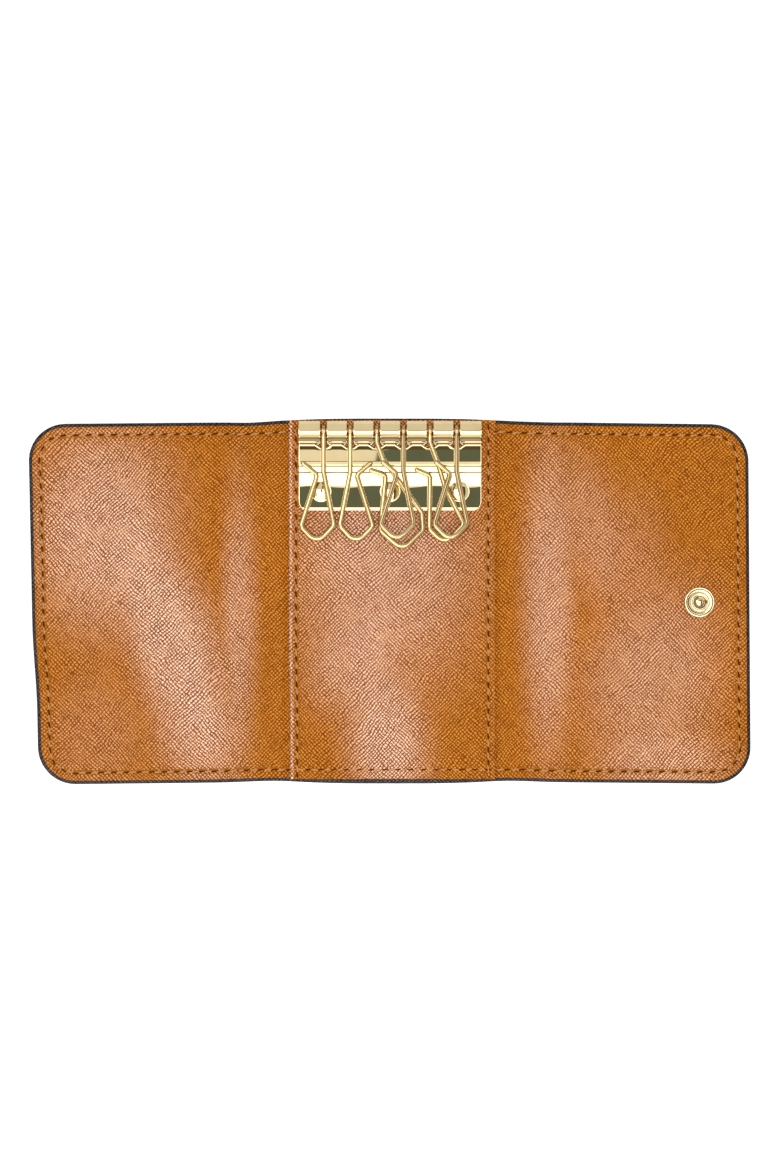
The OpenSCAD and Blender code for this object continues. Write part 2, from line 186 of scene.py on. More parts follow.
lamp_w = 0.50
lamp_l = 0.40
lamp_radiance = 4.5
lamp_data = bpy.data.lights.new("soft lamp", "AREA")
lamp_data.shape = "RECTANGLE"
lamp_data.size = lamp_w
lamp_data.size_y = lamp_l
lamp_data.energy = lamp_radiance * math.pi * lamp_w * lamp_l
lamp = bpy.data.objects.new("soft lamp", lamp_data)
lamp.location = (-0.02, -0.10, 1.0)
lamp.visible_glossy = False
bpy.context.scene.collection.objects.link(lamp)

# The cards, in metres: name, corners, colour and brightness. From foot to top the camera shows the
# rim of its lens hood, its dark body beside a pale arm, and its brown back.
softbox_z = 1.0
camera_z = 0.94
half = 0.066
body_y = 0.035
arm_y = 0.068
back_y = 0.115
warm_white = (1, 0.99, 0.97)
white = (1, 1, 1)
arm_slope = [(-0.01, arm_y, camera_z), (0.0, back_y, camera_z)]
body_corners = [(-half, body_y, camera_z), (half, body_y, camera_z), (half, back_y, camera_z)]
body_corners += arm_slope[::-1] + [(-half, arm_y, camera_z)]
arm_corners = [(-half, arm_y, camera_z)] + arm_slope + [(-half, back_y, camera_z)]
front_corners = [(-1.2, -1.3, 0.02), (0.3, -1.3, 0.02), (0.3, -0.42, 1.0), (-1.2, -0.42, 1.0)]
flag_outline = [(0.055, 0.28), (0.30, 0.28), (0.30, -0.9), (0.65, -0.9), (0.65, 0.60), (0.055, 0.60)]
cards = [
    ("softbox", rectangle(-0.40, 0.40, -0.40, 0.0, softbox_z), warm_white, 3.4),
    ("front card", front_corners, white, 3.0),
    ("camera body", body_corners, (0.16, 0.20, 0.18), 1.0),
    ("camera arm", arm_corners, white, 1.2),
    ("hood rim", rectangle(-half, half, 0.0, body_y, camera_z), white, 1.35),
    ("camera back", rectangle(-half, half, back_y, 0.20, camera_z), (0.16, 0.13, 0.07), 1.0),
]
for side_x, wing_end in ((-1, 0.75), (1, 0.30)):
    near_wing = rectangle(0.08 * side_x, wing_end * side_x, 0.0, 0.22, softbox_z)
    far_wing = rectangle(0.40 * side_x, 0.62 * side_x, 0.24, 0.65, softbox_z)
    cards += [("softbox wing", wing, warm_white, 5.0) for wing in (near_wing, far_wing)]
cards.append(("dark flag", [(x, y, camera_z) for x, y in flag_outline], (0.095, 0.12, 0.11), 1.0))
for name, corners, colour, brightness in cards:
    card = new_piece(name, corners, [], [tuple(range(len(corners)))])
    material, tree = new_material(name)
    shade(tree, "ShaderNodeEmission", Color=(*colour, 1), Strength=brightness)
    card.data.materials.append(material)
    card.visible_camera = False
    card.visible_diffuse = False
    card.visible_transmission = False
    card.visible_shadow = False

# Side linings
# One piece of tan crosshatch leather lines each side, from the centre panel's edge to the rim.
# It is glued over the board and stitched all round, and bends at both folds of its spine. The
# snap beneath each side lifts it a little, so a side is laid out flat and then set at its angle.
joint = {j["name"]: j for j in frame["joints"]}
fold_x = {side: joint[f"{side}_spine_fold"]["pos_m"][0] for side in ("left", "right")}
middle_y, fold_z = joint["left_spine_fold"]["pos_m"][1:]
lift = {side: math.radians(90 - joint[f"{side}_spine_fold"]["range_deg"][1]) for side in fold_x}
outward = {"left": -1, "right": 1}
spine_w = {side: abs(joint[f"{side}_flap_fold"]["pos_m"][0] - fold_x[side]) / math.cos(lift[side])
    for side in fold_x}
flap_w = {"left": 58.4 * MM, "right": 53.1 * MM}
lean = {"left": 2.1 * MM, "right": -0.7 * MM}
foot_tuck = {"left": 0.9 * MM, "right": 0}
half_h = 51.9 * MM
spine_drop = 0.9 * MM
flap_drop = 0.7 * MM
bottom_drop = 0.4 * MM
dip_h = 0.4 * MM
dip_middle = 4 * MM
dip_reach = 9 * MM
middle_hang = 0.35 * MM
middle_rise = 0.2 * MM
corner_r = 10.6 * MM
pocket_t = 1.4 * MM
side_t = fold_z
rim_w = 1.0 * MM
seam_in = 2.35 * MM
seam_groove = 0.25 * MM
lining_start = -1.6 * MM
bend_reach = 2.2 * MM
# distances from a free edge at which the leather's rows lie, close together where it turns down
edge_rows = [d * MM for d in (0, 0.1, 0.28, 0.55, 0.9, 1.3, 1.7, 2.0, 2.3, 2.6, 3.0, 3.6, 4.6, 5.8, 7.3)]
row_step = 1.4 * MM


def smooth(t):
    """0 to 1 with a soft start and end."""
    t = min(max(t, 0), 1)
    return t * t * (3 - 2 * t)


def hump(distance, reach):
    """1 at no distance, falling away softly on both sides."""
    return math.exp(-(distance / reach) ** 2)


def top_edge(side, s):
    """Height of the case's top edge, s outward from the fold."""
    spine, flap = spine_w[side], flap_w[side]
    on_spine = min(max(s, 0), spine) / spine
    on_flap = max(s - spine, 0) / flap
    rise = middle_rise * smooth((dip_middle - s) / (3 * dip_reach))
    drawn_in = dip_h * hump(s - dip_middle, dip_reach)
    return half_h - drawn_in + rise - spine_drop * smooth(on_spine) - flap_drop * on_flap


def bottom_edge(side, s):
    """Height of the case's bottom edge, s outward from the fold."""
    hang = middle_hang * smooth((dip_middle - s) / (3 * dip_reach))
    drawn_in = dip_h * hump(s - dip_middle, dip_reach)
    return -half_h + drawn_in - hang - bottom_drop * max(s - spine_w[side], 0) / flap_w[side]


def outer_edge(side, share, inset):
    """Distance of the outer edge from the fold, at a share of the height, with round corners."""
    straight = spine_w[side] + flap_w[side] + lean[side] * (share - 0.5) - inset
    straight -= foot_tuck[side] * smooth((0.45 - share) / 0.25)
    r = corner_r - inset
    near = min(share, 1 - share) * (2 * half_h - 2 * inset)
    if near >= r:
        return straight
    return straight - r + math.sqrt(max(r * r - (r - near) ** 2, 0))


def side_place(side, s, y, height):
    """Point of the lifted side: s outward from the fold, height over the surface it lies on."""
    if s < 0:
        return Vector((fold_x[side] + outward[side] * s, middle_y + y, height))
    up = height - side_t
    angle = lift[side]
    x = fold_x[side] + outward[side] * (s * math.cos(angle) - up * math.sin(angle))
    return Vector((x, middle_y + y, side_t + s * math.sin(angle) + up * math.cos(angle)))


def swell(side, s, y):
    """Soft rise and fall of the leather: a hollow spine, a full flap and slow waves."""
    spine = spine_w[side]
    hollow = -0.3 * MM * math.sin(math.pi * min(max(s / spine, 0), 1)) ** 2
    wave = 0.1 * MM * math.sin(y / (9 * MM) + (0.5 if side == "left" else 2.1))
    wave *= smooth(s / (4 * MM)) * smooth((spine + 12 * MM - s) / (12 * MM))
    full = 0.22 * MM * math.sin(math.pi * min(max((s - spine) / flap_w[side], 0), 1))
    return hollow + wave + full * (1 + 0.3 * math.sin(y / (21 * MM) + 1))


def panel_dive(s):
    """How far the lining dives beside the centre panel's raised edge."""
    return 0.6 * MM * smooth((1.6 * MM - s) / (1.9 * MM))


# Wax and painted sheen on the leather, as soft ovals laid where the sheen falls: middle, height, half
# width and half length in mm, lean in degrees and share of wax and sheen. A middle is measured from
# the fold, or on the centre panel from the middle of the case.
wax_and_sheen_ovals = {
    "left": [(52, 21, 20, 29, 0, 0.94), (32, -13, 12, 37, 19, 1.05), (13.5, -5, 4.8, 36, 0, 0.75),
        (25, -40, 12, 12, 0, 0.7), (54, -38, 14, 18, 0, 0.33)],
    "right": [(15, 1, 7, 43, 0, 0.85), (27, 20, 9, 22, -14, 0.58), (45, -22, 19, 26, 12, 0.72),
        (48, -46, 18, 10, 0, 0.78), (38, 10, 10, 20, 0, 0.4)],
    "centre": [(-1.5, 14, 25.5, 38, 0, 0.88), (-10, -16, 12, 16, 25, 0.78), (-1, -38, 11, 21, -6, 0.96)],
}


def wax(part, across, y):
    """Share of wax and painted sheen at one place, from the ovals that reach it."""
    total = 0
    for middle, height, half_w, half_l, oval_lean, share in wax_and_sheen_ovals[part]:
        turn = math.radians(oval_lean)
        dx, dy = across / MM - middle, y / MM - height
        u = abs(dx * math.cos(turn) - dy * math.sin(turn)) / half_w
        v = abs(dx * math.sin(turn) + dy * math.cos(turn)) / half_l
        total += (share * smooth((1.7 - math.hypot(u, v)) / 1.4)) ** 3
    return total ** (1 / 3)


def even_steps(first, last, step):
    """Values from first to last, evenly spaced at about one step."""
    count = max(1, round(abs(last - first) / step))
    return [first + (last - first) * i / count for i in range(count + 1)]


def height_shares(height):
    """Shares of the height from bottom to top, close together at both edges."""
    low = [d / height for d in edge_rows]
    middle = even_steps(low[-1], 1 - low[-1], row_step / height)[1:-1]
    return low + middle + [1 - share for share in reversed(low)]


def fold_steps(side, first, last):
    """Distances from the fold, closer together where the leather bends."""
    spine = spine_w[side]
    bends = (3 * MM, spine - 3 * MM, spine + 3 * MM)
    marks = sorted({first, last} | {m for m in bends if first < m < last})
    steps = []
    for a, b in zip(marks, marks[1:]):
        close = b <= 3 * MM or (a >= spine - 3.1 * MM and b <= spine + 3.1 * MM)
        steps += even_steps(a, b, 0.5 * MM if close else row_step)[:-1]
    return steps + [last]


def steps_to_edge(side, first, inset):
    """Distances from first to the outer edge, close together at the edge."""
    last = spine_w[side] + flap_w[side] - inset
    return fold_steps(side, first, last - edge_rows[-1])[:-1] + [last - d for d in reversed(edge_rows)]


def store(mesh, label, values):
    """Keeps one number or one direction for each point of a mesh, under a name."""
    is_vector = isinstance(values[0], Vector)
    layer = mesh.attributes.new(label, "FLOAT_VECTOR" if is_vector else "FLOAT", "POINT")
    for item, value in zip(layer.data, values):
        setattr(item, "vector" if is_vector else "value", value)


def recalculated(mesh):
    """Clears points without faces, and makes the faces of a closed mesh point outwards."""
    form = bmesh.new()
    form.from_mesh(mesh)
    bmesh.ops.delete(form, geom=[v for v in form.verts if not v.link_faces], context="VERTS")
    bmesh.ops.recalc_face_normals(form, faces=form.faces)
    form.to_mesh(mesh)
    form.free()


def closed_sheet(name, rows, skipped=lambda i, j: False):
    """Closed sheet from rows of cells that start with a face point and a back point, without the
    skipped cells, and the count of faces round its edge, which come last."""
    columns = len(rows[0])

    def at(i, j, back=0):
        return (back * len(rows) + i) * columns + j

    faces, sides = [], {}
    for i in range(len(rows) - 1):
        for j in range(columns - 1):
            if not skipped(i, j):
                ring = [(i, j), (i, j + 1), (i + 1, j + 1), (i + 1, j)]
                faces += [[at(*p) for p in ring], [at(*p, 1) for p in ring[:1] + ring[:0:-1]]]
                for pair in zip(ring, ring[1:] + ring[:1]):
                    sides.setdefault(frozenset(pair), []).append(pair)
    # a side that only one cell has lies on the edge
    border = [pairs[0] for pairs in sides.values() if len(pairs) == 1]
    faces += [[at(*a), at(*b), at(*b, 1), at(*a, 1)] for a, b in border]
    made = new_piece(name, [cell[back] for back in (0, 1) for row in rows for cell in row], [], faces)
    recalculated(made.data)
    return made, len(border)


def leather_shell(name, rows, slot, *materials):
    """Closed shell from rows of cells, each a face point, a back point, a flat place and a share of wax and
    painted sheen.
    """
    made, edge_faces = closed_sheet(name, rows)
    mesh = made.data
    for material in materials:
        mesh.materials.append(material)
    for face in mesh.polygons[-edge_faces:]:
        face.material_index = 1
    cells = [cell for row in rows for cell in row] * 2
    layer = mesh.uv_layers.new(name="flat cut")
    for loop in mesh.loops:
        layer.data[loop.index].uv = cells[loop.vertex_index][2]
    store(mesh, "wax", [cell[3] for cell in cells])
    mesh.shade_smooth()
    mesh.set_sharp_from_angle(angle=math.radians(40))
    return made


def side_rows(side, s_steps, inset, low, high, to_edge, groove):
    """Cells of one leather layer of a side, from s_steps[0] outward, its free edges rolled down."""
    roll = min(0.5 * MM, (high - low) * 0.6)
    is_lining = high > pocket_t
    rows = []
    for share in height_shares(2 * half_h - 2 * inset):
        edge = outer_edge(side, share, inset) if to_edge else s_steps[-1]
        stretch = (edge - s_steps[0]) / (s_steps[-1] - s_steps[0])
        row = []
        for step in s_steps:
            s = s_steps[0] + (step - s_steps[0]) * stretch
            low_y = bottom_edge(side, s) + inset
            top_y = top_edge(side, s) - inset
            y = low_y + share * (top_y - low_y)
            free = min(y - low_y, top_y - y, edge - s if to_edge else 1)
            turned = roll * (1 - min(free / (0.8 * MM), 1)) ** 2
            bent = swell(side, s, y) * smooth(free / (6 * MM))
            sunk = groove * hump(free - seam_in, 0.6 * MM) + (panel_dive(s) if is_lining else 0)
            face = side_place(side, s, y, high - turned + bent - sunk)
            back = side_place(side, s, y, low + (turned if low == 0 else 0))
            place = (outward[side] * s * 10 + fold_x[side] * 10, y * 10)
            # the lining takes its share of wax and painted sheen from the ovals, the cover an even half
            row.append((face, back, place, wax(side, s, y) if is_lining else 0.5))
        rows.append(row)
    return rows


def lay_side(side, layer, start, inset, low, high, groove, leather, also_replaced=()):
    """One leather of a side in two parts, because a piece can bend at one fold only."""
    middle = spine_w[side] / 2
    bodies = ["centre_panel", f"{side}_spine", f"{side}_flap"]
    inner = "at_panel", fold_steps(side, start, middle), 0, (f"{side}_spine_{layer}", *also_replaced)
    outer = "of_flap", steps_to_edge(side, middle, inset), spine_w[side], (f"{side}_flap_{layer}",)
    for k, (part, s_steps, fold_s, nodes) in enumerate((inner, outer)):
        rows = side_rows(side, s_steps, inset, low, high, part == "of_flap", groove)
        piece = leather_shell(f"{side}_{layer}_{part}", rows, *leather)
        bend = [side_place(side, fold_s + reach, 0, side_t) for reach in (-bend_reach, bend_reach)]
        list(bodies[k:k + 2])
        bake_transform(piece)
        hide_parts(*nodes)


def noise(place, scale, detail):
    """A cloudy pattern from 0 to 1."""
    return node(place.tree, "ShaderNodeTexNoise", Vector=place, Scale=scale, Detail=detail)


def ranged(value, low, high, to_low=0.0, to_high=1.0, kind="LINEAR"):
    """The value stretched from one range to another, and kept inside it."""
    return node(value.tree, "ShaderNodeMapRange", {"interpolation_type": kind}, Value=value, From_Min=low,
        From_Max=high, To_Min=to_low, To_Max=to_high)


def tinted(share, first, second):
    """The colour at a share between two colours, each given plain or as an output."""
    first, second = (c if isinstance(c, Output) else (*c, 1) for c in (first, second))
    return node(share.tree, "ShaderNodeMix", {"data_type": "RGBA"}, _0=share, _6=first, _7=second)[2]


def bumped(height, strength, depth):
    """The surface's direction, with the height as fine relief."""
    return node(height.tree, "ShaderNodeBump", Strength=strength, Distance=depth, Height=height)


def new_group(name, kind, inputs, outputs):
    """A node group with inputs and outputs of the kinds given, and the outputs of its input node."""
    tree = bpy.data.node_groups.new(name, kind)
    for in_out, sockets in (("INPUT", inputs), ("OUTPUT", outputs)):
        for label, socket_kind in sockets.items():
            tree.interface.new_socket(label, in_out=in_out, socket_type=f"NodeSocket{socket_kind}")
    return tree, node(tree, "NodeGroupInput")


def numbers(*labels):
    """Sockets of a node group that carry numbers."""
    return dict.fromkeys(labels, "Float")


# The grain: both leathers are pressed with the same fine crosshatch of slanting lines, then waxed.
# The group gives the height of the grain and a mask of its polished tops, from the flat cut.
grain, given = new_group("crosshatch grain", "ShaderNodeTree",
    {"Place": "Vector"} | numbers("Pitch mm", "Wander"), numbers("Height", "Tops", "Blotches"))
flat_place = node(grain, "ShaderNodeVectorMath", {"operation": "SCALE"}, _0=given["Place"], Scale=100)
slow = noise(flat_place, 0.03, 2.0)
patches = noise(flat_place, 0.05, 2.0)
ruffle = noise(flat_place, 0.7, 4.0)
speck = noise(flat_place, 2.2, 3.0)
bunching = noise(flat_place, 0.22, 1.0)
deeper = noise(flat_place, 0.13, 2.0)
balance = ranged(patches, 0.38, 0.62, 0.58, 0.88)
woven = 1.0
line_numbers = []
for degrees, drift, bunched, depth in ((45, 3.0, 1.5, balance), (-44, 6.7, -1.4, 1.46 - balance)):
    slant = math.radians(degrees)
    across = node(grain, "ShaderNodeVectorMath", {"operation": "DOT_PRODUCT"}, _0=flat_place,
        _1=(math.cos(slant), math.sin(slant), 0))["Value"]
    jitter = ruffle * given["Wander"] + bunching * bunched
    phase = across / given["Pitch mm"] + slow * drift + jitter
    wave = (phase * (2 * math.pi)).math("SINE")
    # the sine is lowest three quarters of the way along a line's width, so cells part there
    line_numbers.append((phase + 0.25).math("FLOOR"))
    cut = (1.0 - ranged(wave, -1.0, 0.3, kind="SMOOTHSTEP")) * depth
    woven = (1.0 - cut) * woven
# each lozenge between two pairs of lines, and each short run of lozenges along a line, is polished
# more or less than its neighbours
chances = 0.62
for share, first_run, second_run in ((0.24, 1, 1), (0.26, 1, 4), (0.26, 4, 1)):
    first, second = (line_numbers[0] / first_run).math("FLOOR"), (line_numbers[1] / second_run).math("FLOOR")
    run_place = node(grain, "ShaderNodeCombineXYZ", X=first, Y=second, Z=share + second_run)
    chance = node(grain, "ShaderNodeTexWhiteNoise", {"noise_dimensions": "3D"}, Vector=run_place)
    chances = chance["Value"] * share + chances
pits = speck - 0.5
plain_polish = 0.6
polished = woven * chances + pits * 1.7 - plain_polish
polished = polished * ranged(deeper, 0.36, 0.64, 0.6, 1.35) + plain_polish
node(grain, "NodeGroupOutput", Height=pits * 0.5 + woven,
    Tops=ranged(polished, 0.24, 1.0, kind="SMOOTHSTEP"), Blotches=slow)


def on_flat_cut(tree):
    """Places on the leather as it was cut."""
    return node(tree, "ShaderNodeUVMap", {"uv_map": "flat cut"})


def stored(tree, label):
    """The number kept under a name on a mesh."""
    return node(tree, "ShaderNodeAttribute", {"attribute_name": label})["Fac"]


def leather_material(name, groove, middle, top, painted_sheen_colour, rough_low, rough_high, depth):
    """Waxed crosshatch leather: colours of grooves, slopes, tops and painted sheen on waxed tops, and depth
    of grain.
    """
    material, tree = new_material(name)
    pressed = node(tree, "ShaderNodeGroup", {"node_tree": grain}, Place=on_flat_cut(tree), Pitch_mm=0.82,
        Wander=1.1)
    tops = pressed["Tops"]
    slope = 0.45
    # the grooves' dark is partly painted shade and the tops' light partly painted highlight
    colour = tinted(ranged(tops, slope, 1), tinted(ranged(tops, 0, slope), groove, middle), top)
    colour = node(tree, "ShaderNodeVectorMath", {"operation": "SCALE"}, _0=colour,
        Scale=ranged(pressed["Blotches"], 0.3, 0.7, 0.94, 1.05))
    # the wax gives the tops of the grain their coat, and lightens them towards the painted sheen colour
    wax_and_sheen_here = stored(tree, "wax")
    waxed_tops_and_sheen = wax_and_sheen_here * tops
    relief = bumped(pressed["Height"], 1.0, depth)
    polish = ranged(tops, 0, 1, rough_high, rough_low)
    shade(tree, Base_Color=tinted(waxed_tops_and_sheen, colour, painted_sheen_colour), Roughness=polish, Normal=relief,
        Coat_Weight=(waxed_tops_and_sheen * 0.8 + 0.05) * wax_and_sheen_here, Coat_Roughness=0.27, Coat_IOR=2.5, Coat_Normal=relief,
        Specular_IOR_Level=0.04)
    return material


def mottled_material(name, pattern, dark, light, roughness, depth=0, strength=0.6, gloss=0.5):
    """A material whose colour and relief follow one pattern, which is made in its tree."""
    material, tree = new_material(name)
    share = pattern(tree)
    relief = {"Normal": bumped(share, strength, depth)} if depth else {}
    colour = tinted(share, dark, light)
    shade(tree, Base_Color=colour, Roughness=roughness, Specular_IOR_Level=gloss, **relief)
    return material


def edge_material(name, dark, light, roughness):
    """A cut edge, bare or painted, a little uneven along its length."""
    return mottled_material(name, lambda tree: noise(on_flat_cut(tree), 40.0, 3.0), dark, light, roughness,
        0.1 * MM)


# the lining's grooves and tops carry painted shade and highlight, and its last colour is painted sheen
tan_leather = leather_material("tan crosshatch leather", (0.26, 0.060, 0.001), (0.54, 0.16, 0.004),
    (0.84, 0.31, 0.032), (0.86, 0.41, 0.17), 0.25, 0.5, 0.05 * MM)
bare_edge = edge_material("bare cut edge of the lining", (0.20, 0.055, 0.004), (0.36, 0.12, 0.012), 0.7)
lining = ("lining_leather", tan_leather, bare_edge)
for side in ("left", "right"):
    lay_side(side, "lining", lining_start, rim_w, pocket_t, side_t, seam_groove, lining)

# Outer cover
# One dark skin wraps the whole back, and its painted edge shows as a thin rim round the linings.
# It is glued to the boards, and halved at the middle of the centre, one half for either side.
# the cover's grooves and tops carry painted shade and highlight, and its last colour is painted sheen
dark_leather = leather_material("dark crosshatch leather", (0.010, 0.005, 0.003), (0.020, 0.010, 0.007),
    (0.038, 0.023, 0.016), (0.060, 0.042, 0.034), 0.35, 0.6, 0.08 * MM)
painted_edge = edge_material("painted edge of the cover", (0.010, 0.006, 0.004), (0.022, 0.013, 0.009),
    0.32)
cover_start = -(fold_x["right"] - fold_x["left"]) / 2
for side in ("left", "right"):
    lay_side(side, "cover", cover_start, 0, 0, pocket_t, 0, ("cover_leather", dark_leather, painted_edge),
        ("centre_cover",))

# Centre panel
# A separate piece of the tan leather lies over the ends of both linings, with raw cut sides.
# The key bar is riveted through it, and a row of stitches holds it down along each side.
panel_low, panel_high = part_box("key_panel")
panel_top = middle_y + half_h - 0.35 * MM
panel_height = panel_top - panel_low[1]
panel_seam_in = 2.1 * MM
beside_rows = [d * MM for d in (0, 0.12, 0.3, 0.6, 1.0, 1.4, 1.7, 2.0, 2.3, 2.7, 3.3, 4.3, 5.8)]
panel_x = [panel_low[0] + d for d in beside_rows]
panel_x += even_steps(panel_x[-1], panel_high[0] - beside_rows[-1], row_step)[1:-1]
panel_x += [panel_high[0] - d for d in reversed(beside_rows)]


def left_cut(y):
    """The panel's left cut side, which runs in a little towards the foot."""
    return panel_low[0] + 0.35 * MM + 0.35 * MM * smooth((-12 * MM - y) / (20 * MM))


panel_rows = []
for share in height_shares(panel_height):
    y = panel_low[1] + share * panel_height
    cut_x = left_cut(y)
    narrowed = (panel_high[0] - cut_x) / (panel_high[0] - panel_low[0])
    row = []
    for drawn_x in panel_x:
        x = panel_high[0] - (panel_high[0] - drawn_x) * narrowed
        beside = min(x - cut_x, panel_high[0] - x)
        along = min(y - panel_low[1], panel_top - y)
        turned = 0.4 * MM * (1 - min(min(beside, along) / (0.7 * MM), 1)) ** 2
        seam = 0.22 * MM * hump(beside - panel_seam_in, 0.5 * MM)
        ripple = 0.06 * MM * math.sin(y / (2.6 * MM)) * math.exp(-beside / (3 * MM))
        # painted highlight along the cut sides, stronger on the left one
        rim_painted_highlight = (1.3 if x < 0 else 0.2) * hump(beside - 0.45 * MM, 0.55 * MM)
        face = Vector((x, y, panel_high[2] - turned - seam + ripple))
        row.append((face, Vector((x, y, pocket_t)), (x * 10, y * 10), max(wax("centre", x, y), rim_painted_highlight)))
    panel_rows.append(row)
panel = leather_shell("centre_panel_leather", panel_rows, *lining)
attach(panel, "centre_panel")
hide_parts("key_panel")

# Key bar
# One thin sheet of gold-plated steel, cut with six slots, pressed with a raised band and rolled
# over at the top. Three rivets hold it on the centre panel, and the roll carries the hooks.
bar_low, bar_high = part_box("key_bar")
bar_middle = (bar_low[0] + bar_high[0]) / 2
roll_r = 2.15 * MM
sheet_t = 0.6 * MM
roll_lean = 1.0 * MM
roll_back = 0.86
roll_sweep = 303
roll_steps = 37
roll_y = bar_high[1] - roll_r
roll_z = panel_high[2] + roll_r
slot_pitch = 7.58 * MM
bar_corner_r = 2.7 * MM
slot_middles = [bar_middle + (i - 2.5) * slot_pitch for i in range(6)]
# Tilt of the sheet's face in degrees, by the distance in mm above the bar's foot: the rounded foot,
# the plain flange and its rise, the raised band with a fine pressed line and a bead along its top,
# and the recessed strip under the roll
face_tilts = [(0, 48), (0.28, 40), (0.4, 5), (0.75, 2.5), (0.95, 0), (6.6, 0), (7.2, 2.2), (8.2, 4),
    (10.7, 4.5), (10.75, 44), (10.97, 44), (11.02, 4), (12.5, 2.5), (12.55, -14), (12.75, -14), (12.8, 12),
    (13.0, 12), (13.05, 1.7), (13.85, 1.75), (14.15, 0), (17.2, 0), (17.5, -1.6), (18.35, -2.2), (18.45, 3),
    (18.52, 4), (18.85, 4), (18.9, -45), (19.1, -45), (19.15, -3), (19.38, -3), (19.42, 3), (19.75, 3),
    (19.8, -6), (20.5, -9), (20.8, -4), (20.9, 2.5), (21.3, 2.5), (21.4, 0), (23.65, 0)]
# height in mm of the face at the foot, and the rows of the flat part: last mark and step, in mm
foot_face = 0.32
row_runs = [(1.2, 0.1), (7, 0.58), (10, 0.2), (15, 0.07), (17, 0.5), (21.5, 0.07), (23.65, 0.2)]
# half width of a slot in mm, by the distance above the bar's foot, as drawn before the band's
# upper edge is bent down beside each slot
slot_foot = 18.6
slot_halves = [(slot_foot, 0.7), (18.75, 1.15), (18.95, 1.85), (19.1, 1.75), (19.75, 1.0), (30, 1.0)]
dip_depth = 0.85 * MM
dip_marks = [(15, 0), (17.2, 0.1), (18.3, 0.8), (18.45, 1), (19.1, 1), (19.9, 0.1), (20.5, 0)]
dip_widths = [(1.2, 1), (2.5, 0), (9, 0)]
edge_columns = [d * MM for d in (0.15, 0.5, 0.9, 1.3, 1.8)]
# painted shade in the recess under the roll and in the pressed line, by mm above the foot
bar_painted_shade_table = [(10.65, 0), (10.75, 0.9), (11.0, 0.9), (11.1, 0), (12.5, 0), (12.6, 0.7), (12.9, 0.5),
    (13.0, 0), (17.2, 0), (17.6, 0.15), (18.4, 0.2), (18.5, 0), (18.85, 0), (18.95, 0.7), (19.1, 0.7),
    (19.2, 0.1), (19.75, 0.1), (19.9, 0.4), (20.45, 0.5), (20.55, 0.95), (20.75, 0.95), (20.85, 0.2),
    (21.3, 0.2), (21.45, 0.9), (22.5, 0.95)]
bar_painted_shade_top = 1.3 * MM


def straight_table(table, x):
    """Value at x of a table of pairs, with straight runs between them and level ends."""
    x = max(x, table[0][0])
    for (x0, v0), (x1, v1) in zip(table, table[1:]):
        if x <= x1:
            return v0 + (v1 - v0) * (x - x0) / (x1 - x0)
    return table[-1][1]


row_marks = [0]
for last_mark, mark_step in row_runs:
    row_marks += even_steps(row_marks[-1], last_mark, mark_step)[1:]
faces_mm = [foot_face]
for before, mark in zip(row_marks, row_marks[1:]):
    tilt = straight_table(face_tilts, (before + mark) / 2)
    faces_mm.append(faces_mm[-1] + (mark - before) * math.tan(math.radians(tilt)))
# the strip ends level with the inside of the roll
leftover = faces_mm[-1] - sheet_t / MM
bar_rows = []
for mark, face_mm in zip(row_marks, faces_mm):
    face = (face_mm - leftover * smooth((mark - 21.5) / 2.15)) * MM
    y = bar_low[1] + mark * MM
    bar_rows.append(((y, panel_high[2] + face), (y, panel_high[2] + max(face - sheet_t, 0))))
# the roll leans forward a little, and its back is pressed flatter
for step in range(1, roll_steps + 1):
    turn = math.radians(-90 + roll_sweep * step / roll_steps)
    behind = roll_back if math.cos(turn) > 0 else 1
    forward = roll_lean * max(math.sin(turn), 0)
    bar_rows.append(tuple((roll_y + r * behind * math.cos(turn) - forward, roll_z + r * math.sin(turn))
        for r in (roll_r - sheet_t, roll_r)))
above_flat = 30
bar_points = []
slot_rows = []
for i, layers in enumerate(bar_rows):
    mark = row_marks[i] if i < len(row_marks) else above_flat
    half = straight_table(slot_halves, mark) * MM
    slot_rows.append(mark >= slot_foot)
    below = max(bar_corner_r - mark * MM, 0)
    drawn_in = bar_corner_r - math.sqrt(bar_corner_r ** 2 - below ** 2)
    stops = [bar_low[0] + drawn_in]
    for middle in slot_middles:
        stops += [middle - half, middle + half]
    stops.append(bar_high[0] - drawn_in)
    row_x = []
    for k, (a, b) in enumerate(zip(stops, stops[1:])):
        if k % 2:
            row_x += [a, (a + b) / 2]
        else:
            shrink = min(1, (b - a) / (2 * edge_columns[-1]) * 0.9)
            beside = [d * shrink for d in edge_columns]
            row_x += [a] + [a + d for d in beside] + [(a + b) / 2] + [b - d for d in reversed(beside)]
    row_x.append(stops[-1])
    row = []
    for x in row_x:
        # the rise of the flange was pressed a little unevenly
        uneven = 0.014 * MM * hump(mark - 7.8, 1.3) * math.sin(x / (2.7 * MM))
        from_slot = min(abs(x - middle) for middle in slot_middles) / MM
        dip = dip_depth * straight_table(dip_widths, from_slot) * straight_table(dip_marks, mark)
        row.append([Vector((x, y - dip, z + uneven)) for y, z in layers])
    bar_points.append(row)
metal_columns = 2 * len(edge_columns) + 2
slot_columns = {metal_columns + (metal_columns + 2) * i + k for i in range(6) for k in (0, 1)}


def apply_modifiers(piece):
    """Turns a piece and its modifiers into one plain mesh."""
    bpy.context.view_layer.update()
    ready = piece.evaluated_get(bpy.context.evaluated_depsgraph_get())
    mesh = bpy.data.meshes.new_from_object(ready)
    piece.modifiers.clear()
    piece.data = mesh


def settle(piece, slot, body, *nodes):
    """Attaches a piece to the body it moves with, and hides the CAD nodes it stands for. The slot is not
    used.
    """
    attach(piece, body)
    if nodes:
        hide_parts(*nodes)


